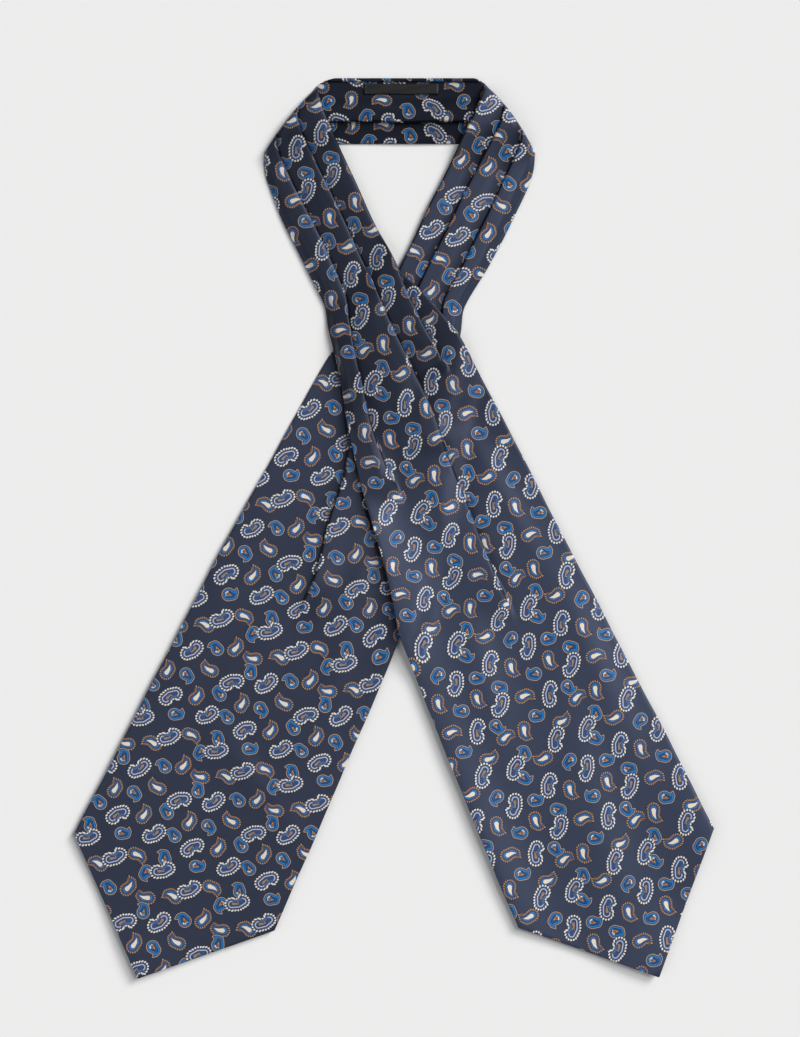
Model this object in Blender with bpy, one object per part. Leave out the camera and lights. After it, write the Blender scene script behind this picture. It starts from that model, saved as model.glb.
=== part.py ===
"""A silk cravat laid flat: two pleated strips that cross below the neck, and the band behind the neck.

Lengths are in metres, +Z is up and Y runs up the garment. The origin is at the middle of its
outline, on the surface it lies on. Each strip is a wall of cloth lofted through cuts across it.
Its own frame has the tip of the blade at zero, "rise" along the strip towards the neck, and
"across" from its outer edge towards the neck opening. The tables give millimetres.
"""

from collections import namedtuple
from math import cos, pi, radians, sin

import bmesh
import bpy
import numpy as np

MM = 0.001

# Cloth: two layers of silk twill sewn back to back, pressed into one wall.
WALL = 1.2 * MM
FOLD_RADIUS = 0.85 * MM
PLEAT_DEPTH = 5.0 * MM
OPEN_DEPTH = 0.6 * MM
FLAT_ANGLE = radians(0.01)
TURN_STEPS = 3
SEAM_GAP = 0.3 * MM
CLIMB_CLEAR = 0.8 * MM

# How a layer falls off what it lies on.
DRAPE_REACH = 10.0 * MM
DRAPE_SLOPE = 0.35
END_RAMP = 3.0 * MM

STRIP_LEAN = radians(65)

# A measured cut across a strip: how far each edge and fold line lies from the strip's axis.
Cut = namedtuple("Cut", "rise outer fold_a fold_b neck_edge blade_edge")

# A strip: where its tip is, which way it leans, how the slanted fold at the back and the
# two corners of the blade run, and the rises at which each pleat begins to open and is gone.
Strip = namedtuple(
    "Strip", "name tip_x tip_y side top_slant top_bow corner_slant opens gone cuts colour"
)

OVER_CUTS = [
    Cut(598, -5.6, 7.0, 27.0, 43.3, 41.0),
    Cut(590, -10.0, 3.6, 23.6, 41.5, 39.5),
    Cut(580, -12.5, 2.6, 22.0, 40.5, 38.5),
    Cut(550, -14.0, 3.0, 23.0, 40.2, 38.2),
    Cut(523, -13.2, 4.2, 22.3, 39.9, 38.0),
    Cut(493, -12.6, 3.6, 22.7, 41.2, 40.6),
    Cut(475, -17.2, -1.4, 22.5, 40.2, 47.6),
    Cut(456, -20.6, -7.0, 22.4, 40.6, 53.6),
    Cut(433, -26.2, -11.8, 22.3, 42.3, 59.2),
    Cut(403, -34.4, -18.0, 22.4, 42.5, 60.8),
    Cut(363, -42.6, -20.2, 19.4, 42.5, 62.4),
    Cut(322, -48.4, -20.2, 16.6, 42.5, 64.0),
    Cut(295, -54.2, -20.2, 14.8, 42.5, 65.0),
    Cut(272, -59.6, -20.2, 14.3, 42.5, 65.8),
    Cut(225, -62.4, -20.2, 14.3, 42.5, 67.8),
    Cut(150, -66.6, -20.2, 14.3, 42.5, 71.0),
    Cut(68, -69.8, -20.2, 14.3, 42.5, 73.8),
]

UNDER_CUTS = [
    Cut(599, -7.5, 6.8, 25.0, 41.5, 39.5),
    Cut(586, -11.6, 3.4, 21.8, 39.8, 38.0),
    Cut(571, -12.8, 3.8, 22.8, 40.2, 38.2),
    Cut(520, -11.6, 5.0, 24.6, 41.0, 39.2),
    Cut(488, -8.2, 6.2, 25.6, 41.4, 41.6),
    Cut(474, -12.4, 2.0, 25.4, 41.4, 47.0),
    Cut(457, -17.6, -3.6, 25.0, 42.0, 52.0),
    Cut(434, -26.6, -10.0, 24.6, 42.4, 57.6),
    Cut(404, -35.6, -16.0, 23.6, 42.4, 60.2),
    Cut(373, -43.2, -20.0, 21.4, 42.4, 62.4),
    Cut(353, -47.4, -20.0, 16.6, 42.4, 63.8),
    Cut(320, -53.0, -20.0, 12.6, 42.4, 66.2),
    Cut(283, -60.0, -20.0, 6.2, 42.4, 68.6),
    Cut(247, -62.6, -20.0, 5.8, 42.4, 70.4),
    Cut(187, -64.6, -20.0, 5.8, 42.4, 72.8),
    Cut(66, -68.0, -20.0, 5.8, 42.4, 77.6),
]

OVER = Strip(
    name="strip_over",
    tip_x=173.3 * MM,
    tip_y=-293.5 * MM,
    side=1,
    top_slant=0.516,
    top_bow=1.4 * MM,
    corner_slant=0.036,
    opens=(430, 380, 450),
    gone=(365, 268, 415),
    cuts=OVER_CUTS,
    colour=(0.030, 0.042, 0.100, 1),
)
UNDER = Strip(
    name="strip_under",
    tip_x=-167.3 * MM,
    tip_y=-294.3 * MM,
    side=-1,
    top_slant=0.545,
    top_bow=3.2 * MM,
    corner_slant=0.014,
    opens=(440, 360, 450),
    gone=(392, 270, 415),
    cuts=UNDER_CUTS,
    colour=(0.026, 0.038, 0.092, 1),
)

# Where the cuts are taken: close together where the strips cross, wider apart in the blade.
ARM_STEP = 14 * MM
CROSSING_STEP = 12 * MM
BLADE_STEP = 45 * MM
CROSSING_TOP = 524 * MM
CROSSING_END = 265 * MM
SLANT_FADE = 45 * MM

# The band behind the neck: its frame has "down" from its top edge towards the opening.
BAND_TOP = 294.3 * MM
BAND_HEIGHT = 43.0 * MM
BAND_FOLD = 29.1 * MM
BAND_RIM = 2.4 * MM
BAND_COLOUR = (0.022, 0.030, 0.075, 1)
LABEL_DOWN = 3.9 * MM
LABEL_HEIGHT = 6.8 * MM
LABEL_LEFT = -19.5 * MM
LABEL_RIGHT = 29.6 * MM
LABEL_THICKNESS = 1.0 * MM
LABEL_COLOUR = (0.008, 0.008, 0.009, 1)

# A cut of the band: where it starts, how it slants, and its fold's angle and hidden depth.
BandCut = namedtuple("BandCut", "left slant fold_angle fold_depth")
BAND_CUTS = [
    BandCut(-43.0, -0.77, 0.01, 0.6),
    BandCut(-38.0, -0.42, 0.01, 0.6),
    BandCut(-33.0, -0.15, 60, 0.6),
    BandCut(-27.0, 0.0, 180, 5.0),
    BandCut(-10.0, 0.0, 180, 5.0),
    BandCut(4.5, 0.0, 180, 5.0),
    BandCut(19.0, 0.0, 180, 5.0),
    BandCut(36.0, 0.0, 180, 5.0),
    BandCut(43.0, 0.08, 180, 3.0),
    BandCut(46.5, 0.20, 60, 0.6),
    BandCut(49.5, 0.45, 0.01, 0.6),
    BandCut(52.0, 0.74, 0.01, 0.6),
]


def clear_scene():
    for thing in list(bpy.data.objects):
        bpy.data.objects.remove(thing, do_unlink=True)


def cloth_material(name, colour, roughness):
    material = bpy.data.materials.new(name)
    material.use_nodes = True
    shader = material.node_tree.nodes["Principled BSDF"]
    shader.inputs["Base Color"].default_value = colour
    shader.inputs["Roughness"].default_value = roughness
    shader.inputs["Metallic"].default_value = 0
    material.diffuse_color = colour
    return material


def steady_slopes(places, values):
    """Slopes for a smooth curve through the values that never swings past them."""
    chords = np.diff(values) / np.diff(places)
    slopes = np.concatenate([chords[:1], np.zeros(len(chords) - 1), chords[-1:]])
    for i in range(1, len(chords)):
        before, after = chords[i - 1], chords[i]
        if before * after > 0:
            slopes[i] = 2 * before * after / (before + after)
    return slopes


def curve_value(places, values, at):
    """The value at a place on the smooth curve through a table's column."""
    slopes = steady_slopes(places, values)
    at = min(max(at, places[0]), places[-1])
    i = min(int(np.searchsorted(places, at, side="right")) - 1, len(places) - 2)
    span = places[i + 1] - places[i]
    t = (at - places[i]) / span
    return (
        values[i] * (1 + 2 * t) * (1 - t) ** 2
        + values[i + 1] * t * t * (3 - 2 * t)
        + slopes[i] * span * t * (1 - t) ** 2
        - slopes[i + 1] * span * t * t * (1 - t)
    )


def column_value(cuts, column, rise):
    """A column of a strip's table at any rise, in metres."""
    ordered = sorted(cuts, key=lambda cut: cut.rise)
    places = np.array([cut.rise * MM for cut in ordered])
    values = np.array([getattr(cut, column) * MM for cut in ordered])
    return curve_value(places, values, rise)


def eased(share):
    share = min(max(share, 0), 1)
    return share * share * (3 - 2 * share)


def pleat_state(rise, opens, gone):
    """A pleat's turn and hidden depth: folded flat at the neck, gone in the blade."""
    share = (opens * MM - rise) / (opens * MM - gone * MM)
    depth = OPEN_DEPTH + (PLEAT_DEPTH - OPEN_DEPTH) * (1 - eased(2 * share))
    angle = pi - (pi - FLAT_ANGLE) * eased(2 * share - 1)
    return angle, depth


def pleat_points(edge, angle, depth):
    """The two turns of a pleat whose visible fold lies at edge, and its drop in height."""
    radius = FOLD_RADIUS * pi / angle
    drop = 2 * radius * (1 - cos(angle)) + depth * sin(angle)
    start = edge - radius * sin(min(angle, pi / 2))
    turns = [angle * step / TURN_STEPS for step in range(TURN_STEPS + 1)]
    points = [(start + radius * sin(a), drop - radius * (1 - cos(a))) for a in turns]
    back = points[-1][0] + depth * cos(angle)
    low = points[-1][1] - depth * sin(angle)
    for a in reversed(turns):
        points.append((back + radius * (sin(angle) - sin(a)), low - radius * (cos(a) - cos(angle))))
    return points, drop


def cut_points(outer, pleats, end):
    """A cut across the cloth from edge to edge, as (across, height) of the wall's middle."""
    points = [(outer, 0.0)]
    for edge, angle, depth in pleats:
        turn, drop = pleat_points(edge, angle, depth)
        hidden_from = min(x for x, _ in turn) - WALL / 2 - CLIMB_CLEAR
        crest = min(hidden_from, turn[0][0] - CLIMB_CLEAR)
        start, low = points[-1]
        points.append((start + (crest - start) * 0.45, low + (drop - low) * 0.42))
        points.append((crest, drop))
        points += turn
    start = points[-1][0]
    points += [(start + (end - start) * share, 0.0) for share in (0.35, 0.7, 1.0)]
    return points


def offset_pairs(points, thickness):
    """Each point of a cut moved out to the cloth's two faces, and pressed flat on the surface."""
    points = np.array(points)
    legs = np.diff(points, axis=0)
    legs /= np.linalg.norm(legs, axis=1)[:, None]
    before = np.concatenate([legs[:1], legs])
    after = np.concatenate([legs, legs[-1:]])
    heading = before + after
    heading /= np.linalg.norm(heading, axis=1)[:, None]
    corner = np.clip((heading * after).sum(axis=1), 0.8, 1)
    normal = np.stack([-heading[:, 1], heading[:, 0]], axis=1)
    shift = normal * (thickness / 2 / corner)[:, None]
    faces = np.stack([points + shift, points - shift])
    faces[:, :, 1] = np.maximum(faces[:, :, 1], 0)
    return faces


def held_up(tops, x, y):
    """How high the cloth below holds a point up: the highest top near it, less a fall beyond."""
    if tops is None:
        return 0.0
    away = np.hypot(tops[:, 0] - x, tops[:, 1] - y)
    fall = DRAPE_SLOPE * np.maximum(0, away - DRAPE_REACH)
    return max(0.0, float((tops[:, 2] + SEAM_GAP - fall).max()))


def strip_place(strip, across, rise):
    """A point of a strip's own frame on the surface the cravat lies on."""
    x = strip.tip_x + strip.side * (across * sin(STRIP_LEAN) - rise * cos(STRIP_LEAN))
    y = strip.tip_y + across * cos(STRIP_LEAN) + rise * sin(STRIP_LEAN)
    return x, y


def strip_rises(strip):
    """The rises of a strip's cuts, from the slanted fold at the back down to its corners."""
    top = strip.cuts[0].rise * MM
    corner = strip.cuts[-1].rise * MM
    rises = [top, top - END_RAMP]
    stretches = (
        (CROSSING_TOP, ARM_STEP),
        (CROSSING_END, CROSSING_STEP),
        (corner, BLADE_STEP),
    )
    for end, step in stretches:
        start = rises[-1]
        count = max(1, round((start - end) / step))
        rises += [start + (end - start) * (i + 1) / count for i in range(count)]
    return rises


def strip_cut(strip, rise):
    """The cut of a strip at one rise, with its three pleats as open as they are there."""
    pleats = []
    columns = ("fold_a", "fold_b", "neck_edge")
    for column, opens, gone in zip(columns, strip.opens, strip.gone):
        edge = column_value(strip.cuts, column, rise) - WALL / 2
        pleats.append((edge, *pleat_state(rise, opens, gone)))
    outer = column_value(strip.cuts, "outer", rise)
    return cut_points(outer, pleats, column_value(strip.cuts, "blade_edge", rise))


def slanted(strip, rise, across, outer, inner):
    """The rise of a point of a cut: the first cuts slant and bow like the fold, the last a little."""
    near_top = 1 - eased((strip.cuts[0].rise * MM - rise) / SLANT_FADE)
    near_corner = 1 - eased((rise - strip.cuts[-1].rise * MM) / BLADE_STEP)
    slant = strip.top_slant * near_top + strip.corner_slant * near_corner
    share = (across - outer) / (inner - outer)
    return rise + slant * (across - outer) + strip.top_bow * near_top * 4 * share * (1 - share)


def strip_rows(strip, tops):
    """The two faces of a strip, a row for each cut, from the back of the neck to the tip."""
    top = strip.cuts[0].rise * MM
    rows = []
    for rise in strip_rises(strip):
        cut = strip_cut(strip, rise)
        outer, inner = cut[0][0], cut[-1][0]
        wrap = min(1, (top - rise) / END_RAMP)
        lifted = []
        for across, height in cut:
            x, y = strip_place(strip, across, slanted(strip, rise, across, outer, inner))
            lifted.append((across, height + WALL / 2 + wrap * held_up(tops, x, y)))
        rows.append(
            [
                [(c, slanted(strip, rise, c, outer, inner), z) for c, z in face]
                for face in offset_pairs(lifted, WALL)
            ]
        )
    for share in (0.5, 0.0):
        rows.append([[(c * share, r * share, z) for c, r, z in face] for face in rows[-1]])
    return [[[(*strip_place(strip, c, r), z) for c, r, z in face] for face in row] for row in rows]


def rim_points():
    """The roll along the band's top edge: its free edge, then the turn down to the surface."""
    radius = FOLD_RADIUS
    turns = [pi * step / TURN_STEPS for step in range(TURN_STEPS + 1)]
    middle = radius + WALL / 2
    points = [(BAND_RIM - WALL / 2, 2 * radius)]
    points += [(middle - radius * sin(a), radius + radius * cos(a)) for a in turns]
    return points


def band_rows():
    """The two faces of the band behind the neck, a row for each cut, from left to right."""
    rows = []
    for cut in BAND_CUTS:
        angle, depth = radians(cut.fold_angle), cut.fold_depth * MM
        turn, drop = pleat_points(BAND_FOLD - WALL / 2, angle, depth)
        label_end = LABEL_DOWN + LABEL_HEIGHT + SEAM_GAP
        crest = min(min(d for d, _ in turn) - WALL / 2, turn[0][0]) - CLIMB_CLEAR
        points = rim_points()
        points += [(LABEL_DOWN, 0.0), (label_end, 0.0), (crest, drop)]
        points += turn
        start = points[-1][0]
        points += [(start + (BAND_HEIGHT - start) * share, 0.0) for share in (0.5, 1.0)]
        faces = offset_pairs([(d, z + WALL / 2) for d, z in points], WALL)
        left = cut.left * MM
        rows.append(
            [[(left + cut.slant * d, BAND_TOP - d, z) for d, z in face] for face in faces]
        )
    return rows


def label_rows():
    """The label, laid on the band's own face and moved out from it by the seam's gap."""
    floor = WALL + SEAM_GAP
    downs = (LABEL_DOWN, LABEL_DOWN + LABEL_HEIGHT / 2, LABEL_DOWN + LABEL_HEIGHT)
    rows = []
    for x in np.linspace(LABEL_LEFT, LABEL_RIGHT, 5):
        rows.append(
            [[(x, BAND_TOP - d, floor + up) for d in downs] for up in (LABEL_THICKNESS, 0.0)]
        )
    return rows


def wall_object(name, rows, material):
    """A closed wall lofted through rows that each hold an upper and a lower face."""
    mesh = bmesh.new()
    grid = [[[mesh.verts.new(p) for p in face] for face in row] for row in rows]
    across = len(grid[0][0])
    for here, there in zip(grid, grid[1:]):
        for j in range(across - 1):
            mesh.faces.new((here[0][j], here[0][j + 1], there[0][j + 1], there[0][j]))
            mesh.faces.new((here[1][j], there[1][j], there[1][j + 1], here[1][j + 1]))
        mesh.faces.new((here[0][0], there[0][0], there[1][0], here[1][0]))
        mesh.faces.new((here[0][-1], here[1][-1], there[1][-1], there[0][-1]))
    for row in (grid[0], grid[-1]):
        for j in range(across - 1):
            mesh.faces.new((row[0][j], row[1][j], row[1][j + 1], row[0][j + 1]))
    bmesh.ops.remove_doubles(mesh, verts=mesh.verts, dist=0.001 * MM)
    bmesh.ops.recalc_face_normals(mesh, faces=mesh.faces)
    data = bpy.data.meshes.new(name)
    mesh.to_mesh(data)
    mesh.free()
    data.materials.append(material)
    data.shade_smooth()
    data.set_sharp_from_angle(angle=radians(50))
    thing = bpy.data.objects.new(name, data)
    bpy.context.scene.collection.objects.link(thing)
    return thing


def upper_points(*things):
    """Every point of the pieces already laid down, for the next layer to rest on."""
    return np.array([v.co[:] for thing in things for v in thing.data.vertices])


def build():
    clear_scene()
    silk_shade = cloth_material("silk_inner", BAND_COLOUR, 0.5)
    band = wall_object("neck_band", band_rows(), silk_shade)
    satin = cloth_material("label_satin", LABEL_COLOUR, 0.35)
    wall_object("label", label_rows(), satin)
    silk_under = cloth_material("silk_under", UNDER.colour, 0.45)
    under = wall_object(UNDER.name, strip_rows(UNDER, upper_points(band)), silk_under)
    silk_over = cloth_material("silk_over", OVER.colour, 0.45)
    wall_object(OVER.name, strip_rows(OVER, upper_points(band, under)), silk_over)


build()
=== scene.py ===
"""The looks of a silk cravat laid flat: printed satin on two pleated strips and their neck band.

Lengths are in metres, +Z is up and Y runs up the garment. A strip's own frame has the tip of its
blade at zero, "rise" along the strip towards the neck, and "across" from its outer edge towards
the neck opening. The tables give millimetres and degrees. Each piece is a thin closed wall of
cloth. It carries its places on the flat cloth in the UV map "cloth", from which the print and the
weave are worked out, and in the attribute "shade" the painted shade that darkens its colour.
"""

from collections import namedtuple
from math import cos, hypot, pi, radians, sin, sqrt

import bpy
import numpy as np
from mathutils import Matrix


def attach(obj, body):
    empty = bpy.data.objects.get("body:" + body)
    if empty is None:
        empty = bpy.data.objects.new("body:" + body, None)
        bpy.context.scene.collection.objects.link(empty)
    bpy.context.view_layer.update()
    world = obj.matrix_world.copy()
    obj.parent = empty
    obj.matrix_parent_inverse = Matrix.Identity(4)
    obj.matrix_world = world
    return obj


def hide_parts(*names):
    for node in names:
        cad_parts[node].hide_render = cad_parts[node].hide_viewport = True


MM = 0.001

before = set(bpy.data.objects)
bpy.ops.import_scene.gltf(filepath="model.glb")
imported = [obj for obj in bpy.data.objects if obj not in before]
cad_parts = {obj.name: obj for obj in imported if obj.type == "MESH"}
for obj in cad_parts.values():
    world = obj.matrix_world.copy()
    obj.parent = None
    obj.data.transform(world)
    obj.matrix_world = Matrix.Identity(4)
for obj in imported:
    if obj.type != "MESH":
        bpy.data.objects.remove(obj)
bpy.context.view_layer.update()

# Cloth: two layers of silk twill sewn back to back, pressed into one wall with rounded edges.
WALL = 1.2 * MM
NOSE_STEPS = 3
SHORTEST_LEG = 1e-9
SHARPEST_TURN = 0.8
SEAM_GAP = 0.3 * MM

# A pleat's two turns, and its hidden depth where it is folded flat and where it has opened.
FOLD_RADIUS = 0.85 * MM
PLEAT_DEPTH = 5.0 * MM
OPEN_DEPTH = 0.6 * MM
FLAT_ANGLE = radians(0.01)
TURN_STEPS = 6

# The points of a cut: up to the crest of each pleat, along it, and on to the far edge.
CLIMB_COUNTS = (12, 9, 9)
CLIMB_CLEAR = 0.8 * MM
CREST_SHARES = (0.33, 0.67)
LAST_COUNT = 12

# How a layer falls off what it lies on: carried flat a little way past it, then down a slope.
GRID = 2.0 * MM
GRID_MARGIN = 60 * MM
DRAPE_CELLS = 3
FALL_CELLS = 14
DRAPE_SLOPE = 0.35
SOFTEN_PASSES = 3

STRIP_LEAN = radians(65)

# A cut across a strip, in millimetres: how far up it lies, and its edges and visible folds.
Cut = namedtuple("Cut", "rise outer fold_a fold_b neck_edge blade_edge")

# A soft crease in a strip, in millimetres: its middle, its lean from the strip's axis in degrees,
# its half length and half width, and its height.
Crease = namedtuple("Crease", "across rise lean long wide high")

# How the printed cloth hangs in a strip, in millimetres: what a pleat has taken up before each of
# its four visible folds, and how far the cloth has slipped along at the outer and the inner side.
Hang = namedtuple("Hang", "rise first second third fourth outer_slip inner_slip")

# A strip: the tip of its blade and the side it lies on, how its first and last cuts slant, where
# each pleat starts to open and is gone, the way its print runs and from where, the painted shade
# of its arm and blade, and its tables.
Strip = namedtuple(
    "Strip",
    "tip_x tip_y side top_slant top_bow corner_slant opens gone way print_start arm_shade"
    " blade_shade cuts hangs creases",
)

OVER_CUTS = [
    Cut(598, -5.6, 7.0, 27.0, 43.3, 41.0),
    Cut(590, -10.0, 3.6, 23.6, 41.5, 39.5),
    Cut(580, -12.5, 2.6, 22.0, 40.5, 38.5),
    Cut(550, -14.0, 3.0, 23.0, 40.2, 38.2),
    Cut(523, -13.2, 4.2, 22.3, 39.9, 38.0),
    Cut(493, -12.6, 3.6, 22.7, 41.2, 40.6),
    Cut(475, -17.2, -1.4, 22.5, 40.2, 47.6),
    Cut(456, -20.6, -7.0, 22.4, 40.6, 53.6),
    Cut(433, -26.2, -11.8, 22.3, 42.3, 59.2),
    Cut(403, -34.4, -18.0, 22.4, 42.5, 60.8),
    Cut(363, -42.6, -20.2, 19.4, 42.5, 62.4),
    Cut(322, -48.4, -20.2, 16.6, 42.5, 64.0),
    Cut(295, -54.2, -20.2, 14.8, 42.5, 65.0),
    Cut(272, -59.6, -20.2, 14.3, 42.5, 65.8),
    Cut(225, -62.4, -20.2, 14.3, 42.5, 67.8),
    Cut(150, -66.6, -20.2, 14.3, 42.5, 71.0),
    Cut(68, -69.8, -20.2, 14.3, 42.5, 73.8),
]

UNDER_CUTS = [
    Cut(599, -7.5, 6.8, 25.0, 41.5, 39.5),
    Cut(586, -11.6, 3.4, 21.8, 39.8, 38.0),
    Cut(571, -12.8, 3.8, 22.8, 40.2, 38.2),
    Cut(520, -11.6, 5.0, 24.6, 41.0, 39.2),
    Cut(488, -8.2, 6.2, 25.6, 41.4, 41.6),
    Cut(474, -12.4, 2.0, 25.4, 41.4, 47.0),
    Cut(457, -17.6, -3.6, 25.0, 42.0, 52.0),
    Cut(434, -26.6, -10.0, 24.6, 42.4, 57.6),
    Cut(404, -35.6, -16.0, 23.6, 42.4, 60.2),
    Cut(373, -43.2, -20.0, 21.4, 42.4, 62.4),
    Cut(353, -47.4, -20.0, 16.6, 42.4, 63.8),
    Cut(320, -53.0, -20.0, 12.6, 42.4, 66.2),
    Cut(283, -60.0, -20.0, 6.2, 42.4, 68.6),
    Cut(247, -62.6, -20.0, 5.8, 42.4, 70.4),
    Cut(187, -64.6, -20.0, 5.8, 42.4, 72.8),
    Cut(66, -68.0, -20.0, 5.8, 42.4, 77.6),
]

OVER_HANGS = [
    Hang(600, -59, -32, 2, 30, -4.5, -4.5),
    Hang(560, -58, -31, 3, 30, -4.5, -4.5),
    Hang(470, -48, -27, 6, 22, -3.5, -4.5),
    Hang(415, -36, -24, 8, 8, -1.5, -5),
    Hang(380, -27, -21, 7, 7, -1, -5),
    Hang(350, -18, -18, 7, 7, -1, -4),
    Hang(310, -11, -11, 5, 5, -0.5, -3.5),
    Hang(245, 0, 0, 0, 0, 0, -3),
    Hang(120, 0, 0, 0, 0, 0, -3.5),
    Hang(68, 0, 0, 0, 0, 0, -2),
]
UNDER_HANGS = [
    Hang(600, -61, -35, 0, 30, -2.5, 0),
    Hang(480, -60, -36, 0, 22, -2.5, 0),
    Hang(415, -32, -27, 3, 3, -1, -1),
    Hang(392, -24, -24, 2, 2, -1, -1),
    Hang(360, -17, -17, 1.5, 1.5, -1, -1),
    Hang(315, -10.5, -10.5, 1, 1, -2, -2),
    Hang(250, -3, -3, -3, -3, -3, -2.5),
    Hang(195, -3, -3, -3, -3, -3, -4),
    Hang(135, -2.5, -2.5, -2.5, -2.5, -6.5, -7.5),
    Hang(66, -2.5, -2.5, -2.5, -2.5, -9, -9),
]

OVER_CREASES = [
    Crease(-61, 190, 4, 150, 18, 2.6),
    Crease(-34, 375, 16, 60, 12, 1.5),
    Crease(10, 130, 10, 75, 19, 2.1),
    Crease(50, 215, 2, 70, 13, 1.7),
    Crease(68, 60, 4, 60, 20, 2.4),
    Crease(-18, 250, 8, 60, 12, 1.3),
    Crease(40, 330, -4, 60, 9, 1.3),
    Crease(-4, 330, 6, 60, 9, 1.2),
    Crease(-10, 6, 90, 60, 22, 2.0),
]
UNDER_CREASES = [
    Crease(62, 170, -3, 130, 18, 1.7),
    Crease(-12, 150, 62, 42, 9, 1.3),
    Crease(22, 250, -6, 80, 14, 1.4),
    Crease(-22, 280, 14, 60, 9, 1.3),
    Crease(-44, 120, 6, 80, 16, 1.5),
    Crease(24, 90, -10, 50, 16, 1.2),
    Crease(0, 6, 90, 60, 22, 2.2),
]

OVER = Strip(
    tip_x=173.3 * MM,
    tip_y=-293.5 * MM,
    side=1,
    top_slant=0.485,
    top_bow=2.2 * MM,
    corner_slant=0.036,
    opens=(430, 380, 450),
    gone=(350, 245, 415),
    way=1,
    print_start=(0, 0),
    arm_shade=0.55,
    blade_shade=1.0,
    cuts=OVER_CUTS,
    hangs=OVER_HANGS,
    creases=OVER_CREASES,
)
UNDER = Strip(
    tip_x=-167.3 * MM,
    tip_y=-294.3 * MM,
    side=-1,
    top_slant=0.545,
    top_bow=3.2 * MM,
    corner_slant=0.014,
    opens=(440, 360, 450),
    gone=(392, 250, 415),
    way=-1,
    print_start=(10.5, 492.5),
    arm_shade=0.92,
    blade_shade=0.8,
    cuts=UNDER_CUTS,
    hangs=UNDER_HANGS,
    creases=UNDER_CREASES,
)

# Where the rows across a strip lie: close together at the rounded fold at the back.
END_ROWS = (0.0, 0.12, 0.35, 0.7, 1.2, 2.0, 3.0)
ARM_STEP = 3.5 * MM
BLADE_STEP = 5.0 * MM
CROSSING_END = 265 * MM
TIP_ROWS = 16
TIP_BLUNT = 0.004

# How far the slant of a strip's first and last cuts carries on, and how low its very end wraps.
SLANT_FADE = 45 * MM
CORNER_FADE = 45 * MM
END_THIN = 0.12

# The painted shade just past a fold: how dim at its darkest, and how fast that fades.
FOLD_DIM, FOLD_DIM_WIDTH = 0.9, 4.4 * MM

# The painted shadow beside the upper strip's outer edge, and where up the strip it sets in.
BESIDE_DIM, BESIDE_WIDTH = 0.6, 7 * MM
BESIDE_FROM, BESIDE_RUN = 225 * MM, 90 * MM

# Where the painted shade of a strip's arm passes into its blade's.
SHADE_FROM, SHADE_RUN = 450 * MM, 150 * MM

# How far a blade stands off the surface, and where down the strip that sets in, in millimetres.
REST_HEIGHT = 0.5
BLADE_LIFT, BLADE_LIFT_FROM, BLADE_LIFT_RUN = 2.2, 400, 110

# The slow waves of the cloth, in millimetres: their height, and their length across and along.
LEAN_WAVE = (0.28, 10, 61)
CROSS_WAVE = (0.22, -31, 25)

# How a hand-pressed fold or edge strays, in millimetres: how far, over what length, and how much
# its phase counts. The edges stray less, and each fold and edge has a phase of its own.
WANDERS = ((0.30, 17, 1), (0.18, 7.3, 2.1))
EDGE_WANDER = 0.6
FOLD_PHASE, OUTER_PHASE, INNER_PHASE, BAND_PHASE = 1.3, 4.0, 5.0, 0.7

# Where the cloth turns about as its pleats open, outside and inside the middle one, and the width
# over which its slip changes from one side's to the other's. The turn is taken over a short reach.
OUTER_PIVOT = -14 * MM
INNER_PIVOT = 35 * MM
SLIP_WIDTH = 38 * MM
TURN_REACH = 4 * MM

# The band behind the neck, the points down it, and how it sags: height and two lengths.
BAND_TOP = 294.3 * MM
BAND_HEIGHT = 43.0 * MM
BAND_FOLD = 29.1 * MM
BAND_RIM = 2.4 * MM
BAND_STEP = 2.5 * MM
BAND_FLAT_COUNT, BAND_CLIMB_COUNT, BAND_LAST_COUNT = 5, 8, 6
BAND_SAG, BAND_SAG_ALONG, BAND_SAG_DOWN = 0.3 * MM, 11 * MM, 6 * MM
BAND_SAG_FROM, BAND_SAG_RUN = 3 * MM, 6 * MM

# The label on the band, the points along and across it, and its small waves.
LABEL_DOWN = 3.9 * MM
LABEL_HEIGHT = 6.8 * MM
LABEL_LEFT = -19.5 * MM
LABEL_RIGHT = 29.6 * MM
LABEL_THICKNESS = 0.7 * MM
LABEL_CLEAR = 0.25 * MM
LABEL_ROWS, LABEL_POINTS = 33, 9
LABEL_WAVE, LABEL_WAVE_ALONG, LABEL_WAVE_DOWN = 0.12 * MM, 5 * MM, 1 * MM

# The band's ends lean in under the strips, with their top corners rounded off: places along it in
# millimetres, each with how far the band leans aside for every millimetre down.
BAND_LEFT, BAND_RIGHT = -46.5 * MM, 57.2 * MM
BAND_ENDS = (
    (-46.5, -0.77),
    (-38.0, -0.42),
    (-33.0, -0.15),
    (-27.0, 0.0),
    (43.0, 0.08),
    (46.5, 0.20),
    (49.5, 0.45),
    (57.2, 0.76),
)
BAND_ROUND_LEFT, BAND_ROUND_RIGHT = 8.5 * MM, -4.8 * MM
BAND_ROUND_DOWN, BAND_ROUND_ALONG = 5 * MM, 22 * MM

# How bright the band's painted shade leaves it, how much less at its right, where its print starts
# in millimetres, and how much of it its fold hides.
BAND_SHADE, BAND_SHADE_LESS = 0.46, 0.1
BAND_DIM_FROM, BAND_DIM_WIDTH = -10 * MM, 60 * MM
BAND_PRINT_START = (-16.4, 54.5)
BAND_HIDDEN = 22 * MM
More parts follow.
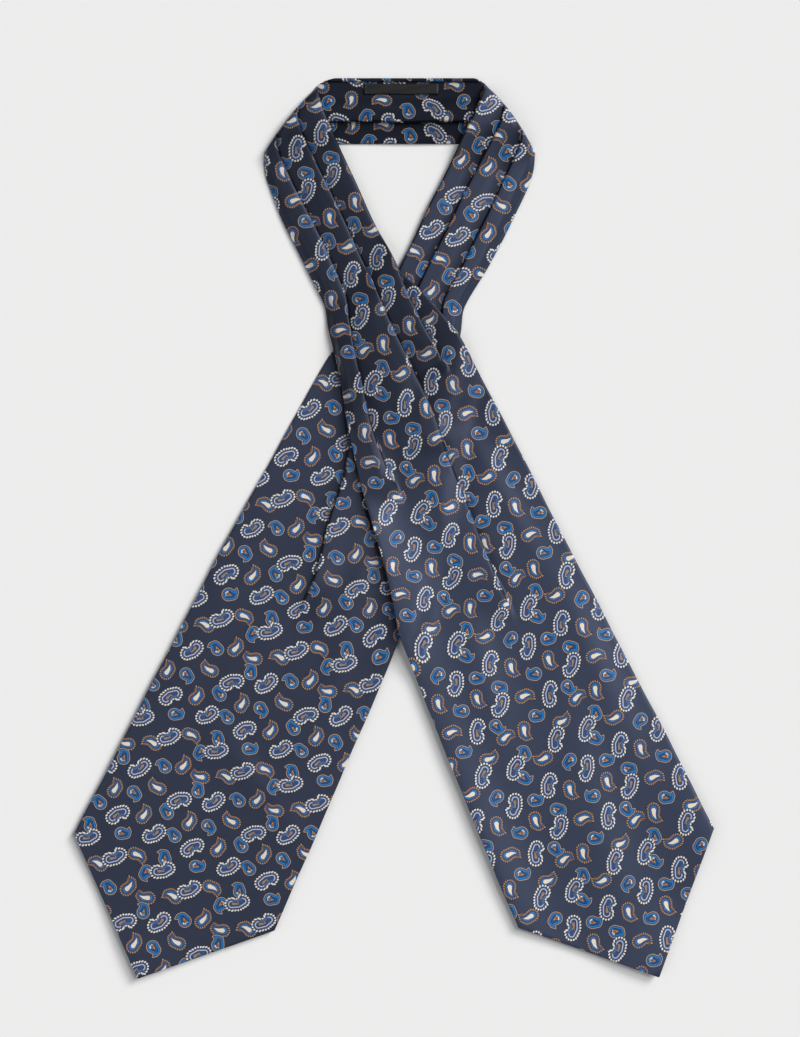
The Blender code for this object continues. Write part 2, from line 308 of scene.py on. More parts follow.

# The print's repeat, charted on the right blade: millimetres right and down of a corner,
# the heading of each motif from its round end to its tail, and the side its tail curls to.
CHART_CORNER = (69.6, -165.1)
REPEAT_ACROSS = (47.7, 23.6)
REPEAT_ALONG = (38.3, -79.8)
Motif = namedtuple("Motif", "right down heading curl")
LEFT, RIGHT = 1, -1
TOOTHED = [
    Motif(79.0, 42.0, 15, LEFT),
    Motif(66.5, 65.5, -150, RIGHT),
    Motif(89.5, 27.5, 45, RIGHT),
    Motif(54.0, 47.5, -85, LEFT),
    Motif(83.8, 86.0, -80, LEFT),
    Motif(61.5, 106.5, -75, LEFT),
    Motif(92.5, 104.0, 25, RIGHT),
]
LINED = [
    Motif(102.0, 38.5, 100, LEFT),
    Motif(101.5, 54.5, -35, LEFT),
    Motif(83.5, 67.0, -135, LEFT),
    Motif(109.0, 69.0, -3, LEFT),
    Motif(99.0, 90.5, 183, RIGHT),
    Motif(76.0, 98.5, 0, RIGHT),
    Motif(83.5, 21.0, -50, LEFT),
    Motif(62.0, 37.5, -5, LEFT),
]
BEADED = [
    Motif(70.8, 23.7, 88, RIGHT),
    Motif(69.8, 82.5, 82, RIGHT),
    Motif(95.5, 73.0, -98, RIGHT),
    Motif(77.0, 110.5, -110, RIGHT),
    Motif(74.5, 53.0, -107, LEFT),
    Motif(95.5, 48.0, -115, LEFT),
]


def srgb(red, green, blue):
    """A colour given as 0 to 255 on screen, for a shader."""
    values = [v / 255 for v in (red, green, blue)]
    return (*(v / 12.92 if v <= 0.04045 else ((v + 0.055) / 1.055) ** 2.4 for v in values), 1)


NAVY = srgb(50, 57, 75)
DEEP_NAVY = srgb(20, 24, 40)
TAN = srgb(166, 132, 102)
TAN_SHADE = srgb(98, 74, 64)
SAND = srgb(172, 148, 130)
BRIGHT_BLUE = srgb(34, 112, 176)
DEEP_BLUE = srgb(40, 78, 126)
CREAM = srgb(226, 212, 194)
BEAD = srgb(222, 216, 208)
SLATE = srgb(84, 102, 142)
SLATE_SHADE = srgb(54, 70, 106)
TEAL = srgb(66, 100, 140)
ICE = srgb(188, 196, 216)
MAUVE = srgb(146, 120, 102)
RUST = srgb(140, 88, 62)
# The near-black that the painted shade darkens the silk's colour towards.
PAINTED_SHADE_DARK = srgb(5, 6, 11)
RIBBON_DARK = srgb(7, 7, 8)
RIBBON_LIGHT = srgb(19, 19, 21)
STITCH_GREY = srgb(74, 74, 78)


def steady_slopes(places, values):
    """Slopes for a smooth curve through the values that never swings past them."""
    chords = np.diff(values) / np.diff(places)
    slopes = np.concatenate([chords[:1], np.zeros(len(chords) - 1), chords[-1:]])
    for i in range(1, len(chords)):
        before, after = chords[i - 1], chords[i]
        if before * after > 0:
            slopes[i] = 2 * before * after / (before + after)
    return slopes


def curve_value(places, values, at):
    """The value at a place on the smooth curve through a table's column."""
    slopes = steady_slopes(places, values)
    at = min(max(at, places[0]), places[-1])
    i = min(int(np.searchsorted(places, at, side="right")) - 1, len(places) - 2)
    span = places[i + 1] - places[i]
    t = (at - places[i]) / span
    return (
        values[i] * (1 + 2 * t) * (1 - t) ** 2
        + values[i + 1] * t * t * (3 - 2 * t)
        + slopes[i] * span * t * (1 - t) ** 2
        - slopes[i + 1] * span * t * t * (1 - t)
    )


def column_value(table, column, rise):
    """A column of a strip's table at any rise, in metres."""
    ordered = sorted(table, key=lambda row: row.rise)
    rises = np.array([row.rise for row in ordered])
    values = np.array([getattr(row, column) for row in ordered])
    return curve_value(rises, values, rise / MM) * MM


def eased(share):
    """0 to 1 with soft ends."""
    share = np.clip(share, 0, 1)
    return share * share * (3 - 2 * share)


def open_share(rise, opens, gone):
    """How far a pleat has opened: 0 where it is folded flat, 1 where it is gone."""
    return (opens * MM - rise) / (opens * MM - gone * MM)


def pleat_state(rise, opens, gone):
    """A pleat's turn and hidden depth: folded flat at the neck, gone in the blade."""
    share = open_share(rise, opens, gone)
    depth = OPEN_DEPTH + (PLEAT_DEPTH - OPEN_DEPTH) * (1 - eased(2 * share))
    angle = pi - (pi - FLAT_ANGLE) * eased(2 * share - 1)
    return angle, depth


def pleat_points(edge, angle, depth):
    """The two turns of a pleat whose visible fold lies at edge, and its drop in height."""
    radius = FOLD_RADIUS * pi / angle
    drop = 2 * radius * (1 - cos(angle)) + depth * sin(angle)
    start = edge - radius * sin(min(angle, pi / 2))
    turns = [angle * step / TURN_STEPS for step in range(TURN_STEPS + 1)]
    points = [(start + radius * sin(a), drop - radius * (1 - cos(a))) for a in turns]
    back = points[-1][0] + depth * cos(angle)
    low = points[-1][1] - depth * sin(angle)
    for a in reversed(turns):
        points.append((back + radius * (sin(angle) - sin(a)), low - radius * (cos(a) - cos(angle))))
    return points, drop


def add_pleat(points, edge, angle, depth, count):
    """Carries a cut up to a pleat's crest, along it and round its turns, and gives the index
    where the first turn starts."""
    turn, drop = pleat_points(edge, angle, depth)
    crest = min(min(x for x, _ in turn) - WALL / 2, turn[0][0]) - CLIMB_CLEAR
    start, low = points[-1]
    shares = [(i + 1) / count for i in range(count)]
    points += [(start + (crest - start) * t, low + (drop - low) * eased(t)) for t in shares]
    points += [(crest + (turn[0][0] - crest) * t, drop) for t in CREST_SHARES]
    points += turn
    return len(points) - len(turn)


def add_flat(points, end, count):
    """Carries a cut on along the surface."""
    start = points[-1][0]
    points += [(start + (end - start) * (i + 1) / count, 0.0) for i in range(count)]


def cut_points(outer, pleats, end):
    """A cut across the cloth from edge to edge, as (across, height), and the index where each
    pleat's first turn starts."""
    points = [(outer, 0.0)]
    starts = [add_pleat(points, *pleat, count) for pleat, count in zip(pleats, CLIMB_COUNTS)]
    add_flat(points, end, LAST_COUNT)
    return points, starts


def cloth_places(points, starts, offsets):
    """Where each point of a cut lies on the flat cloth, and the shingle that it is on: true
    lengths on what shows, and the rest of the cloth taken up in the turns that a pleat hides."""
    across = np.array([p[0] for p in points])
    legs = np.hypot(*np.diff(np.array(points), axis=0).T)
    places = across + offsets[-1]
    shingle = np.full(len(points), len(starts))
    begin = 0
    for i, start in enumerate(starts):
        places[begin : start + 1] = across[begin : start + 1] + offsets[i]
        seen, end = start + TURN_STEPS, start + 2 * TURN_STEPS + 1
        places[start + 1 : seen + 1] = places[start] + np.cumsum(legs[start:seen])
        run = np.cumsum(legs[seen:end])
        goal = across[end] + offsets[i + 1]
        places[seen + 1 : end + 1] = places[seen] + (goal - places[seen]) * run / run[-1]
        shingle[begin : seen + 1] = i
        shingle[seen + 1 : end + 1] = i + 1
        begin = end
    return places, shingle


def wall_loop(points, places, thickness):
    """A closed loop round a cut of the cloth, with rounded edges, and its cloth places. It runs
    over the upper face from the last point to the first, and back under the lower one."""
    arc = thickness / 2
    points = np.array(points) + (0, arc)
    legs = np.diff(points, axis=0)
    legs /= np.maximum(np.linalg.norm(legs, axis=1), SHORTEST_LEG)[:, None]
    before = np.concatenate([legs[:1], legs])
    after = np.concatenate([legs, legs[-1:]])
    heading = before + after
    heading /= np.linalg.norm(heading, axis=1)[:, None]
    corner = np.clip((heading * after).sum(axis=1), SHARPEST_TURN, 1)
    normal = np.stack([-heading[:, 1], heading[:, 0]], axis=1)
    shift = normal * (arc / corner)[:, None]
    upper, lower = points + shift, points - shift
    turns = [pi * (i + 1) / (NOSE_STEPS + 1) for i in range(NOSE_STEPS)]

    def nose(middle, up, out):
        return [middle + arc * (up * cos(a) + out * sin(a)) for a in turns]

    last = nose(points[-1], normal[-1], heading[-1])
    first = nose(points[0], normal[0], -heading[0])
    half = NOSE_STEPS // 2
    loop = last[half::-1] + list(upper[::-1]) + first + list(lower) + last[:half:-1]
    step = arc * pi / (NOSE_STEPS + 1)
    ends = [places[-1] + step * (i + 1) for i in range(half, -1, -1)]
    round_first = [places[0] - step * (i + 1) for i in range(NOSE_STEPS)]
    under = places[0] - arc * pi - (places - places[0])
    tail = [under[-1] - step * (i + 1) for i in range(NOSE_STEPS - half)]
    where = ends + list(places[::-1]) + round_first + list(under) + tail
    loop = np.array(loop)
    loop[:, 1] = np.maximum(loop[:, 1], 0)
    return loop, np.array(where)


# ---- meshes ----


def add_object(name, data):
    thing = bpy.data.objects.new(name, data)
    bpy.context.scene.collection.objects.link(thing)
    return thing


def end_caps(around):
    """The faces that close a loop of around points, as indices round it: a strip of quads between
    the upper and the lower face, and one face at each rounded edge."""
    first = NOSE_STEPS // 2 + 1
    across = (around - 2 * NOSE_STEPS) // 2
    last = first + across - 1
    under = last + NOSE_STEPS + across
    caps = [(first + m, first + m + 1, under - m - 1, under - m) for m in range(across - 1)]
    caps.append(tuple(range(last, last + NOSE_STEPS + 2)))
    caps.append(tuple(j % around for j in range(under, around + first + 1)))
    return caps


def wall_object(name, rows, cloth, shades, material):
    """A closed wall through loops of points. cloth holds each loop's places on the flat cloth,
    with one more than the loop has points, for the seam in its UV map, and shades how bright the
    painted shade leaves the cloth at each point."""
    rows = np.array(rows)
    count, around = rows.shape[:2]
    corners = [
        ((i, j), (i, j + 1), (i + 1, j + 1), (i + 1, j))
        for i in range(count - 1)
        for j in range(around)
    ]
    for i, way in ((0, -1), (count - 1, 1)):
        corners += [tuple((i, j) for j in cap[::way]) for cap in end_caps(around)]
    faces = [tuple(i * around + j % around for i, j in face) for face in corners]
    data = bpy.data.meshes.new(name)
    data.from_pydata(rows.reshape(-1, 3).tolist(), [], faces)
    layer = data.uv_layers.new(name="cloth")
    cloth = np.array(cloth)
    layer.data.foreach_set("uv", np.array([cloth[c] for face in corners for c in face]).ravel())
    bright = data.attributes.new("shade", "FLOAT", "POINT")
    bright.data.foreach_set("value", np.array(shades, dtype=float).ravel())
    data.materials.append(material)
    data.shade_smooth()
    data.validate()
    return add_object(name, data)


def piece_points(*things):
    return np.array([v.co[:] for thing in things for v in thing.data.vertices])


def neighbours(field, drop):
    """The highest of a grid's cell and its neighbours less a drop for each step away."""
    padded = np.pad(field, 1, constant_values=-1)
    best = field
    for i in (0, 1, 2):
        for j in (0, 1, 2):
            away = hypot(i - 1, j - 1)
            shifted = padded[i : i + field.shape[0], j : j + field.shape[1]]
            best = np.maximum(best, shifted - drop * away)
    return best


def softened(field):
    """A grid with each cell blended with its neighbours."""
    padded = np.pad(field, 1, mode="edge")
    rows = (padded[:-2] + 2 * padded[1:-1] + padded[2:]) / 4
    return (rows[:, :-2] + 2 * rows[:, 1:-1] + rows[:, 2:]) / 4


class Ground:
    """The heights that a layer of cloth lies on: the surface, and the pieces already laid down."""

    def __init__(self, tops):
        self.low = tops[:, :2].min(axis=0) - GRID_MARGIN
        size = np.ceil((tops[:, :2].max(axis=0) + GRID_MARGIN - self.low) / GRID).astype(int) + 2
        field = np.zeros(size)
        cells = np.round((tops[:, :2] - self.low) / GRID).astype(int)
        np.maximum.at(field, (cells[:, 0], cells[:, 1]), tops[:, 2] + SEAM_GAP)
        for _ in range(DRAPE_CELLS):
            field = neighbours(field, 0)
        for _ in range(FALL_CELLS):
            field = neighbours(field, DRAPE_SLOPE * GRID)
        for _ in range(SOFTEN_PASSES):
            field = softened(field)
        self.field = np.maximum(field, 0)

    def height(self, x, y):
        place = (np.stack([x, y], axis=-1) - self.low) / GRID
        limit = np.array(self.field.shape) - 2
        cell = np.clip(np.floor(place).astype(int), 0, limit)
        t = np.clip(place - cell, 0, 1)
        i, j = cell[..., 0], cell[..., 1]
        near = self.field[i, j] * (1 - t[..., 0]) + self.field[i + 1, j] * t[..., 0]
        far = self.field[i, j + 1] * (1 - t[..., 0]) + self.field[i + 1, j + 1] * t[..., 0]
        return near * (1 - t[..., 1]) + far * t[..., 1]


# ---- strips ----


def strip_place(strip, across, rise):
    """A point of a strip's own frame on the surface the cravat lies on."""
    x = strip.tip_x + strip.side * (across * sin(STRIP_LEAN) - rise * cos(STRIP_LEAN))
    y = strip.tip_y + across * cos(STRIP_LEAN) + rise * sin(STRIP_LEAN)
    return x, y


def strip_rises(strip):
    """The rises of a strip's rows, from the slanted fold at the back down to its corners."""
    top = strip.cuts[0].rise * MM
    corner = strip.cuts[-1].rise * MM
    rises = [top - away * MM for away in END_ROWS]
    for end, step in ((CROSSING_END, ARM_STEP), (corner, BLADE_STEP)):
        start = rises[-1]
        count = max(1, round((start - end) / step))
        rises += [start + (end - start) * (i + 1) / count for i in range(count)]
    return rises


def wander(rise, phase):
    """The small unevenness of a hand-pressed fold or edge."""
    place = rise / MM
    return sum(far * MM * sin(place / long + share * phase) for far, long, share in WANDERS)


def cloth_offsets(strip, rise):
    """How far the cloth of each shingle lies from where it would with every pleat opened out."""
    columns = ("first", "second", "third", "fourth")
    return np.array([column_value(strip.hangs, column, rise) for column in columns])


def cloth_slip(strip, across, rise):
    """How far the cloth has slipped along the strip."""
    outer = column_value(strip.hangs, "outer_slip", rise)
    inner = column_value(strip.hangs, "inner_slip", rise)
    return outer + (inner - outer) * eased(across / SLIP_WIDTH)


def strip_cut(strip, rise):
    """The cut of a strip at one rise, where its points lie on the flat cloth, how far the cloth
    has slipped along there, and the visible folds, each with how closed its pleat is."""
    pleats, folds = [], []
    columns = ("fold_a", "fold_b", "neck_edge")
    for i, (column, opens, gone) in enumerate(zip(columns, strip.opens, strip.gone)):
        edge = column_value(strip.cuts, column, rise) - WALL / 2
        closed = 1 - eased(open_share(rise, opens, gone))
        edge += wander(rise, FOLD_PHASE * i + strip.side) * closed
        folds.append((edge + WALL / 2, closed))
        pleats.append((edge, *pleat_state(rise, opens, gone)))
    outer = column_value(strip.cuts, "outer", rise)
    inner = column_value(strip.cuts, "blade_edge", rise)
    outer += wander(rise, OUTER_PHASE + strip.side) * EDGE_WANDER + WALL / 2
    inner += wander(rise, INNER_PHASE + strip.side) * EDGE_WANDER - WALL / 2
    points, starts = cut_points(outer, pleats, inner)
    places, shingle = cloth_places(points, starts, cloth_offsets(strip, rise))
    up, down = (cloth_offsets(strip, rise + reach) for reach in (TURN_REACH, -TURN_REACH))
    turning = (up - down) / (2 * TURN_REACH)
    across = np.array([p[0] for p in points])
    pivots = np.array([OUTER_PIVOT, OUTER_PIVOT, INNER_PIVOT, INNER_PIVOT])
    slips = turning[shingle] * (pivots[shingle] - across) + cloth_slip(strip, across, rise)
    return points, places, slips, folds


def fold_shade(across, folds):
    """Painted shade at the cloth's folds: how bright it leaves the cloth, dim just past each one.
    """
    shade = np.ones(len(across))
    for edge, closed in folds:
        past = across - edge + FOLD_RADIUS
        dim = FOLD_DIM * sqrt(closed) * np.exp(-np.maximum(past, 0) / FOLD_DIM_WIDTH)
        shade *= 1 - np.where(past > 0, dim, 0)
    return shade


def slanted(strip, rise, across, outer, inner):
    """The rises of a cut's points: the first cuts slant and bow like the fold at the back, and
    the last ones slant a little."""
    near_top = 1 - eased((strip.cuts[0].rise * MM - rise) / SLANT_FADE)
    near_corner = 1 - eased((rise - strip.cuts[-1].rise * MM) / CORNER_FADE)
    slant = strip.top_slant * near_top + strip.corner_slant * near_corner
    share = (across - outer) / (inner - outer)
    return rise + slant * (across - outer) + strip.top_bow * near_top * 4 * share * (1 - share)


def crease_height(strip, across, rise):
    """The soft creases of a strip and its slow waves, as a height above where it would lie flat."""
    a, r = across / MM, rise / MM
    height = 0 * a
    for crease in strip.creases:
        lean = radians(crease.lean)
        da, dr = a - crease.across, r - crease.rise
        along = dr * cos(lean) + da * sin(lean)
        aside = da * cos(lean) - dr * sin(lean)
        height += crease.high * np.exp(-((along / crease.long) ** 2) - (aside / crease.wide) ** 2)
    waves = sum(
        high * np.sin(a / wide + r / long + phase)
        for (high, wide, long), phase in ((LEAN_WAVE, strip.side), (CROSS_WAVE, 0))
    )
    lift = BLADE_LIFT * eased((BLADE_LIFT_FROM - r) / BLADE_LIFT_RUN)
    return (height + waves + lift + REST_HEIGHT) * MM


def end_wrap(strip, rise):
    """How the cloth turns down at the fold behind the neck: a quarter round at its very end."""
    away = strip.cuts[0].rise * MM - rise
    share = min(1.0, away / (END_ROWS[-1] * MM))
    return END_THIN + (1 - END_THIN) * sqrt(1 - (1 - share) ** 2)


def beside_shade(strip, x, y):
    """Painted shadow: how bright the cloth below a strip is left, dim beside its raised outer edge.
    """
    away_x, away_y = x - strip.tip_x, y - strip.tip_y
    across = strip.side * away_x * sin(STRIP_LEAN) + away_y * cos(STRIP_LEAN)
    rise = away_y * sin(STRIP_LEAN) - strip.side * away_x * cos(STRIP_LEAN)
    cuts = strip.cuts[::-1]
    edge = np.interp(rise / MM, [c.rise for c in cuts], [c.outer for c in cuts]) * MM
    near = np.exp(-np.abs(edge - across) / BESIDE_WIDTH)
    return 1 - BESIDE_DIM * near * eased((rise - BESIDE_FROM) / BESIDE_RUN)


def strip_object(strip, name, ground, material, above=None):
    """A strip laid on the ground, from the fold at the back to the tip of its blade, with painted
    shade on it and a painted shadow beside the strip above it."""
    rows, cloth, shades = [], [], []

    def lay(across, rises, heights, wrap):
        x, y = strip_place(strip, across, rises)
        lift = ground.height(x, y) + crease_height(strip, across, rises)
        rows.append(np.stack([x, y, (heights + lift) * wrap], axis=1))

    for rise in strip_rises(strip):
        points, places, slips, folds = strip_cut(strip, rise)
        loop, where = wall_loop(points, places, WALL)
        across, heights = loop.T
        rises = slanted(strip, rise, across, across.min(), across.max())
        lay(across, rises, heights, end_wrap(strip, rise))
        along = np.append(rises, rises[0]) + loop_values(slips)
        cloth.append(np.stack([where, along], axis=1))
        # Painted shade: the arm's and the blade's levels, blended, and dim past each fold.
        in_blade = eased((SHADE_FROM - rise) / SHADE_RUN)
        base = strip.arm_shade + (strip.blade_shade - strip.arm_shade) * in_blade
        shade = fold_shade(across, folds) * base
        if above:
            shade = shade * beside_shade(above, rows[-1][:, 0], rows[-1][:, 1])
        shades.append(shade)
    last_cloth = cloth[-1]
    corner = strip.hangs[-1]
    settled = np.array([corner.first, corner.outer_slip]) * MM
    for i in range(TIP_ROWS):
        share = max(1 - (i + 1) / TIP_ROWS, TIP_BLUNT)
        lay(across * share, rises * share, heights, 1)
        cloth.append(last_cloth * share + settled * (1 - share))
        shades.append(shades[-1])
    ways = (strip.side * strip.way, strip.way)
    return wall_object(name, rows, print_uv(cloth, ways, strip.print_start), shades, material)


def loop_values(values):
    """Values at the points of a cut, carried round its loop, with the first again at the end."""
    half = NOSE_STEPS // 2
    last, first = [values[-1]], [values[0]]
    loop = last * (half + 1) + list(values[::-1]) + first * NOSE_STEPS + list(values)
    return np.array(loop + last * (NOSE_STEPS - half))


def print_uv(places, ways, start):
    """The UV of places on the flat cloth, in metres: the print runs the given ways across and
    along, from a start in millimetres."""
    return np.array(places) * ways + np.array(start) * MM


class PrintChart:
    """The print's repeat on the flat cloth, in the frame of the strip it was charted on."""

    def __init__(self):
        self.lean = pi / 2 - STRIP_LEAN
        self.across = self.turned(REPEAT_ACROSS)
        self.along = self.turned(REPEAT_ALONG)
        corner = (CHART_CORNER[0] - OVER.tip_x / MM, CHART_CORNER[1] - OVER.tip_y / MM)
        self.corner = self.turned(corner)
        self.to_repeat = np.linalg.inv(np.array([self.across, self.along]).T)

    def turned(self, vector):
        """A direction on the surface in the strip's frame."""
        x, y = vector
        return (
            x * cos(self.lean) + y * sin(self.lean),
            -x * sin(self.lean) + y * cos(self.lean),
        )

    def place(self, motif):
        """A motif's middle, as shares of the two repeats."""
        x, y = self.turned((motif.right, -motif.down))
        return self.to_repeat @ np.array([x + self.corner[0], y + self.corner[1]])


# ---- band and label ----


def rim_points():
    """The roll along the band's top edge: its free edge, then the turn down to the surface."""
    radius = FOLD_RADIUS
    turns = [pi * step / TURN_STEPS for step in range(TURN_STEPS + 1)]
    middle = radius + WALL / 2
    points = [(BAND_RIM - WALL / 2, 2 * radius)]
    return points + [(middle - radius * sin(a), radius + radius * cos(a)) for a in turns]


def band_end_shift(x, downs):
    """How far a cut of the band leans aside on its way down, with the top corners rounded."""
    places, slants = (np.array(column) for column in zip(*BAND_ENDS))
    shift = curve_value(places, slants, x / MM) * downs
    near_top = np.clip(1 - downs / BAND_ROUND_DOWN, 0, 1) ** 2
    near_left = max(0, 1 - (x - BAND_LEFT) / BAND_ROUND_ALONG) ** 2
    near_right = max(0, 1 - (BAND_RIGHT - x) / BAND_ROUND_ALONG) ** 2
    return shift + near_top * (BAND_ROUND_LEFT * near_left + BAND_ROUND_RIGHT * near_right)


def band_object(name, material):
    """The band, as cuts down it from its rim over its one fold to its lower edge."""
    rows, cloth, shades = [], [], []
    label_end = LABEL_DOWN + LABEL_HEIGHT + SEAM_GAP
    count = round((BAND_RIGHT - BAND_LEFT) / BAND_STEP)
    for i in range(count + 1):
        x = BAND_LEFT + (BAND_RIGHT - BAND_LEFT) * i / count
        fold = BAND_FOLD - WALL / 2 + wander(x, BAND_PHASE)
        points = rim_points()
        add_flat(points, label_end, BAND_FLAT_COUNT)
        turn_start = add_pleat(points, fold, pi, PLEAT_DEPTH, BAND_CLIMB_COUNT)
        add_flat(points, BAND_HEIGHT - WALL / 2, BAND_LAST_COUNT)
        legs = np.hypot(*np.diff(np.array(points), axis=0).T)
        places = np.concatenate([[0.0], np.cumsum(legs)])
        places[turn_start + TURN_STEPS + 1 :] += BAND_HIDDEN
        loop, where = wall_loop(points, places, WALL)
        downs, heights = loop.T
        sag = BAND_SAG * (1 + np.sin(x / BAND_SAG_ALONG + downs / BAND_SAG_DOWN))
        sag *= eased((downs - BAND_SAG_FROM) / BAND_SAG_RUN)
        row_x = x + band_end_shift(x, downs)
        rows.append(np.stack([row_x, BAND_TOP - downs, heights + sag], axis=1))
        cloth.append(np.stack([where, np.append(row_x, row_x[0])], axis=1))
        # Painted shade: the band darker overall, more so towards its right, and dim past its fold.
        to_right = eased((row_x - BAND_DIM_FROM) / BAND_DIM_WIDTH)
        base = BAND_SHADE - BAND_SHADE_LESS * to_right
        shades.append(fold_shade(downs, [(BAND_FOLD, 1)]) * base)
    return wall_object(name, rows, print_uv(cloth, (1, 1), BAND_PRINT_START), shades, material)


def label_object(name, material):
    """The bare ribbon on the band, with small waves. Its UVs are its places down and along."""
    rows, cloth = [], []
    bottom = WALL + SEAM_GAP + LABEL_CLEAR
    inset = LABEL_THICKNESS / 2
    downs = np.linspace(LABEL_DOWN + inset, LABEL_DOWN + LABEL_HEIGHT - inset, LABEL_POINTS)
    for x in np.linspace(LABEL_LEFT, LABEL_RIGHT, LABEL_ROWS):
        waves = LABEL_WAVE * (1 + np.sin(x / LABEL_WAVE_ALONG + downs / LABEL_WAVE_DOWN))
        loop, where = wall_loop(np.stack([downs, waves], axis=1), downs, LABEL_THICKNESS)
        row_x = np.full(len(loop), x)
        rows.append(np.stack([row_x, BAND_TOP - loop[:, 0], loop[:, 1] + bottom], axis=1))
        cloth.append(np.stack([where, np.full(len(where), x)], axis=1))
    return wall_object(name, rows, cloth, np.ones(np.array(rows).shape[:2]), material)


# ---- the print's shader ----


class Nodes:
    """Short calls that add nodes to a tree and link them. A value is a number or a socket. A Mix
    node's sockets are taken by number, because they bear one name for every type of data."""

    def __init__(self, tree):
        self.tree = tree

    def add(self, kind, **settings):
        node = self.tree.nodes.new(kind)
        for name, value in settings.items():
            setattr(node, name, value)
        return node

    def feed(self, socket, value):
        """Links a socket to another, or sets its value."""
        if isinstance(value, bpy.types.NodeSocket):
            self.tree.links.new(value, socket)
        else:
            socket.default_value = value

    def math(self, operation, *values, clamp=False):
        node = self.add("ShaderNodeMath", operation=operation, use_clamp=clamp)
        for socket, value in zip(node.inputs, values):
            self.feed(socket, value)
        return node.outputs[0]

    def vector(self, operation, *values):
        node = self.add("ShaderNodeVectorMath", operation=operation)
        for socket, value in zip(node.inputs, values):
            self.feed(socket, value)
        return node.outputs["Value" if operation in ("DOT_PRODUCT", "LENGTH") else "Vector"]

    def pair(self, x, y):
        node = self.add("ShaderNodeCombineXYZ")
        self.feed(node.inputs[0], x)
        self.feed(node.inputs[1], y)
        return node.outputs[0]

    def split(self, vector):
        node = self.add("ShaderNodeSeparateXYZ")
        self.feed(node.inputs[0], vector)
        return node.outputs[0], node.outputs[1]

    def pick(self, factor, first, second):
        """The second vector where factor is 1."""
        node = self.add("ShaderNodeMix", data_type="VECTOR")
        self.feed(node.inputs[0], factor)
        self.feed(node.inputs[4], first)
        self.feed(node.inputs[5], second)
        return node.outputs[1]

    def paint(self, under, colour, mask):
        """A colour laid over another where the mask is 1."""
        node = self.add("ShaderNodeMix", data_type="RGBA")
        self.feed(node.inputs[0], mask)
        self.feed(node.inputs[6], under)
        self.feed(node.inputs[7], colour)
        return node.outputs[2]

    def inside(self, distance, limit):
        return self.math("LESS_THAN", distance, limit)

    def ring(self, distance, middle, half):
        return self.math("COMPARE", distance, middle, half)

    def both(self, first, second):
        return self.math("MULTIPLY", first, second)


FAR_AWAY = 1000.0


def nearest_motif(nodes, repeat_place, chart, motifs):
    """The place in the frame of the nearest of some motifs, in millimetres: x from its round end
    to its tail, y to the side its tail curls to."""
    best, found = FAR_AWAY, (FAR_AWAY, FAR_AWAY, 0.0)
    repeats = np.array([chart.across, chart.along])
    for motif in motifs:
        away = nodes.vector("SUBTRACT", repeat_place, (*chart.place(motif), 0.0))
        away = nodes.vector("WRAP", away, (0.5, 0.5, 0.5), (-0.5, -0.5, -0.5))
        heading = radians(motif.heading) - chart.lean
        ahead = repeats @ (cos(heading), sin(heading))
        aside = repeats @ (-sin(heading), cos(heading)) * motif.curl
        place = nodes.pair(
            nodes.vector("DOT_PRODUCT", away, (*map(float, ahead), 0.0)),
            nodes.vector("DOT_PRODUCT", away, (*map(float, aside), 0.0)),
        )
        length = nodes.vector("LENGTH", place)
        nearer = nodes.math("LESS_THAN", length, best)
        found = nodes.pick(nearer, found, place)
        best = nodes.math("MINIMUM", length, best)
    return found


def drop_distance(nodes, place, start, end, wide, narrow):
    """The distance from a drop's edge, less than 0 inside: round ends of two radii, and the
    straight sides that touch both."""
    length = hypot(end[0] - start[0], end[1] - start[1])
    axis = ((end[0] - start[0]) / length, (end[1] - start[1]) / length, 0.0)
    taper = (wide - narrow) / length
    flare = sqrt(1 - taper * taper)
    away = nodes.vector("SUBTRACT", place, (*start, 0.0))
    along = nodes.vector("DOT_PRODUCT", away, axis)
    aside = nodes.math("ABSOLUTE", nodes.vector("DOT_PRODUCT", away, (-axis[1], axis[0], 0.0)))
    lean = nodes.math("MULTIPLY_ADD", aside, -taper / flare, along)
    share = nodes.math("MULTIPLY", lean, 1 / length, clamp=True)
    past = nodes.math("MULTIPLY_ADD", share, -length, along)
    reach = nodes.math(
        "SQRT", nodes.math("MULTIPLY_ADD", past, past, nodes.math("MULTIPLY", aside, aside))
    )
    radius = nodes.math("MULTIPLY_ADD", share, narrow - wide, wide)
    return nodes.math("SUBTRACT", reach, radius)


def limbs_distance(nodes, place, limbs):
    """The distance from the edge of drops joined into one shape. A limb is its two middles, each
    with its radius."""
    edge = None
    for (x0, y0, wide), (x1, y1, narrow) in zip(limbs, limbs[1:]):
        distance = drop_distance(nodes, place, (x0, y0), (x1, y1), wide, narrow)
        edge = distance if edge is None else nodes.math("MINIMUM", edge, distance)
    return edge


def round_phase(nodes, place, middle, count, stretch):
    """How far a place is from the nearest of count spokes round a middle, -0.5 to 0.5 of the
    step between them, and that as a length. stretch sets the spokes closer at a long shape's
    two ends, where its edge is farther away."""
    away = nodes.vector("SUBTRACT", place, (*middle, 0.0))
    x, y = nodes.split(away)
    angle = nodes.math("ARCTAN2", y, x)
    double = nodes.math("MULTIPLY", angle, 2.0)
    crowded = nodes.math("MULTIPLY_ADD", nodes.math("SINE", double), stretch, angle)
    turns = nodes.math("MULTIPLY", crowded, count / (2 * pi))
    phase = nodes.math("WRAP", turns, 0.5, -0.5)
    rate = nodes.math("MULTIPLY_ADD", nodes.math("COSINE", double), 2 * stretch, 1.0)
    reach = nodes.math("DIVIDE", nodes.vector("LENGTH", away), rate)
    return phase, nodes.math("MULTIPLY", nodes.math("MULTIPLY", phase, 2 * pi / count), reach)


def spot(nodes, place, middle, radius):
    """A mask for a small round spot."""
    away = nodes.vector("SUBTRACT", place, (*middle, 0.0))
    return nodes.inside(nodes.vector("LENGTH", away), radius)


